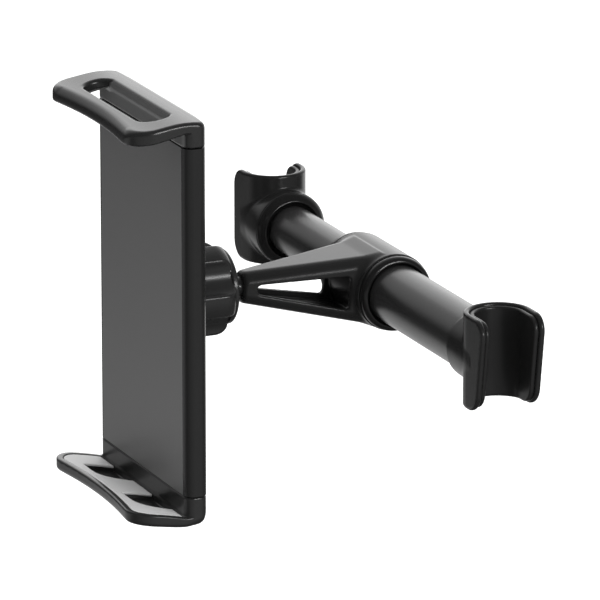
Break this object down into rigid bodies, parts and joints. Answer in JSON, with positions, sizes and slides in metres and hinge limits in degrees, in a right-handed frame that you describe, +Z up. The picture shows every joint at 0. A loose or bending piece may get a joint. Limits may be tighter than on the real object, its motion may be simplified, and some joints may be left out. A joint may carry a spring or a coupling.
{
  "type": "headrest tablet holder",
  "caption": "Tablet holder for a car headrest: sprung clamping cradle on a ball joint, hollow arm and telescoping bar with padded hooks for the headrest posts.",
  "frame": {"origin": "middle of the telescoping bar, on its axis and in the arm's middle plane", "axes": "+X along the bar from the sliding hook to the fixed hook, -Y towards the person who looks at the tablet, +Z up along the cradle"},
  "size_m": [0.1792, 0.1038, 0.1221],
  "materials": {
    "black_abs": "fine-grained satin black ABS",
    "ring_black": "semi-gloss black ABS",
    "tube_satin": "satin black coated steel tube",
    "acetal_black": "black acetal",
    "spring_steel": "bright spring steel",
    "liner_rubber": "soft black rubber",
    "seat_nylon": "dark grey nylon",
    "nut_black": "satin black nylon",
    "panel_black": "satin charcoal ABS",
    "screw_steel": "black coated steel",
    "rail_steel": "plated steel sheet",
    "pad_dark": "dark grey soft rubber",
    "pad_light": "light grey soft rubber"
  },
  "bodies": {
    "bar": {"arm": "black_abs", "sleeve_ring_left": "ring_black", "sleeve_ring_right": "ring_black", "wide_tube": "tube_satin", "mouth_bush": "acetal_black", "spring_seat": "acetal_black", "bar_spring": "spring_steel", "right_hook": "black_abs", "right_liner": "liner_rubber"},
    "left_rod": {"sliding_rod": "tube_satin", "rod_plug": "acetal_black", "left_hook": "black_abs", "left_collar": "ring_black", "left_liner": "liner_rubber"},
    "swivel_cup": {"ball_cup": "seat_nylon"},
    "tilt_washer": {"ball_washer": "seat_nylon"},
    "cradle": {"rear_cover": "black_abs", "front_panel": "panel_black", "cover_screws": "screw_steel"},
    "nut": {"lock_nut": "nut_black"},
    "top_grip": {"top_jaw": "black_abs", "top_pad": "pad_dark", "top_rails": "rail_steel", "top_spring": "spring_steel"},
    "bottom_grip": {"bottom_jaw": "black_abs", "bottom_pad": "pad_light", "bottom_rails": "rail_steel", "bottom_spring": "spring_steel"}
  },
  "joints": [
    {"name": "rod_slide", "type": "slide", "parent": "bar", "child": "left_rod", "axis": [1, 0, 0], "range_m": [0, 0.04], "stiffness_N_per_m": 350, "springref_m": -0.03, "deforming": ["bar_spring"]},
    {"name": "swivel", "type": "hinge", "parent": "bar", "child": "swivel_cup", "pos_m": [0, -0.05483, 0.00432], "axis": [0, 0, 1], "range_deg": [-22, 22]},
    {"name": "tilt", "type": "hinge", "parent": "swivel_cup", "child": "tilt_washer", "pos_m": [0, -0.05483, 0.00432], "axis": [1, 0, 0], "range_deg": [-26, 17]},
    {"name": "spin", "type": "hinge", "parent": "tilt_washer", "child": "cradle", "pos_m": [0, -0.05483, 0.00432], "axis": [0, 1, 0], "continuous": true},
    {"name": "nut_turn", "type": "hinge", "parent": "cradle", "child": "nut", "pos_m": [0, -0.05483, 0.00432], "axis": [0, 1, 0], "continuous": true},
    {"name": "top_jaw_slide", "type": "slide", "parent": "cradle", "child": "top_grip", "axis": [0, 0, 1], "range_m": [0, 0.04], "stiffness_N_per_m": 150, "springref_m": -0.03, "deforming": ["top_spring"]},
    {"name": "bottom_jaw_slide", "type": "slide", "parent": "cradle", "child": "bottom_grip", "axis": [0, 0, -1], "range_m": [0, 0.04], "stiffness_N_per_m": 150, "springref_m": -0.03, "deforming": ["bottom_spring"]}
  ]
}
